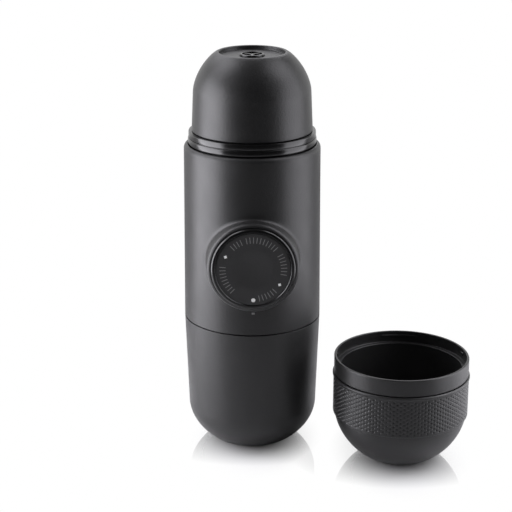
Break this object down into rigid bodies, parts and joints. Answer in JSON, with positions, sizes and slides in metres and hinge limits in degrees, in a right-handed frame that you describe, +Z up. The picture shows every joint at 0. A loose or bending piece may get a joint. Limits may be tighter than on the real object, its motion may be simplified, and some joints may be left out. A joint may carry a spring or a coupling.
{
  "type": "handheld manual espresso maker",
  "caption": "Bullet-shaped hand espresso maker on its screw-off water tank, with a side pump knob, a collared outlet head and its push-on cup standing beside it.",
  "frame": {"origin": "centre of the water tank's flat foot, on the surface that the maker stands on", "axes": "+Z up along the body's axis, -Y out of the pump knob, +X to the right towards the cup when the knob is faced"},
  "size_m": [0.1238, 0.0815, 0.1744],
  "materials": {
    "charcoal_body": "satin charcoal with a very fine moulded grain",
    "gloss_black": "polished black",
    "dark_plastic": "fine matt dark grey",
    "cup_plastic": "satin dark grey",
    "pump_plastic": "natural moulded grey",
    "silicone": "translucent grey silicone",
    "steel": "plain stainless"
  },
  "bodies": {
    "tank": {"water_tank": "charcoal_body"},
    "tank_ring": {"tank_seal": "silicone"},
    "main": {"body_shell": "charcoal_body", "pump_block": "pump_plastic", "neck_collar": "gloss_black", "collar_screws": "steel", "inlet_strainer": "steel", "vent_valve": "silicone", "inlet_seat": "dark_plastic", "inlet_spring": "steel", "outlet_seat": "dark_plastic", "outlet_spring": "steel", "outlet_plug": "dark_plastic", "rod_guide": "dark_plastic", "piston_spring": "steel", "shower_screen": "steel", "shower_screw": "steel", "shower_gasket": "silicone", "filter_basket": "steel"},
    "inlet_valve": {"inlet_ball": "steel"},
    "outlet_valve": {"outlet_ball": "steel"},
    "piston": {"piston_rod": "dark_plastic", "piston_seal": "silicone", "knob_screw": "steel"},
    "knob": {"piston_knob": "gloss_black", "knob_face": "dark_plastic"},
    "head_ring": {"head_seal": "silicone"},
    "head": {"outlet_head": "charcoal_body", "spout_funnel": "dark_plastic", "outlet_nozzle": "gloss_black", "head_filter": "steel"},
    "cup": {"cup_liner": "cup_plastic", "cup_shell": "cup_plastic"}
  },
  "joints": [
    {"name": "body_rise", "type": "slide", "parent": "tank", "child": "tank_ring", "axis": [0, 0, 1], "range_m": [0, 0.0046]},
    {"name": "body_turn", "type": "hinge", "parent": "tank_ring", "child": "main", "pos_m": [0, 0, 0.0582], "axis": [0, 0, 1], "range_deg": [0, 540]},
    {"name": "inlet_lift", "type": "slide", "parent": "main", "child": "inlet_valve", "axis": [0, 0, 1], "range_m": [0, 0.0009], "stiffness_N_per_m": 100, "springref_m": -0.002, "deforming": ["inlet_spring"]},
    {"name": "outlet_lift", "type": "slide", "parent": "main", "child": "outlet_valve", "axis": [0, 0, 1], "range_m": [0, 0.0009], "stiffness_N_per_m": 100, "springref_m": -0.002, "deforming": ["outlet_spring"]},
    {"name": "piston_stroke", "type": "slide", "parent": "main", "child": "piston", "axis": [0, -1, 0], "range_m": [0, 0.011], "deforming": ["piston_spring"]},
    {"name": "knob_turn", "type": "hinge", "parent": "piston", "child": "knob", "pos_m": [0, -0.036, 0.0899], "axis": [0, -1, 0], "range_deg": [0, 60]},
    {"name": "head_rise", "type": "slide", "parent": "main", "child": "head_ring", "axis": [0, 0, 1], "range_m": [0, 0.0061]},
    {"name": "head_turn", "type": "hinge", "parent": "head_ring", "child": "head", "pos_m": [0, 0, 0.141], "axis": [0, 0, 1], "range_deg": [0, 360]},
    {"name": "cup_lift", "type": "slide", "parent": "tank", "child": "cup", "axis": [0, 0, 1], "range_m": [0, 0.08]}
  ],
  "couplings": [
    {"joint": "body_rise", "follows": "body_turn", "m_per_rad": 0.00047746},
    {"joint": "head_rise", "follows": "head_turn", "m_per_rad": 0.00095493}
  ]
}
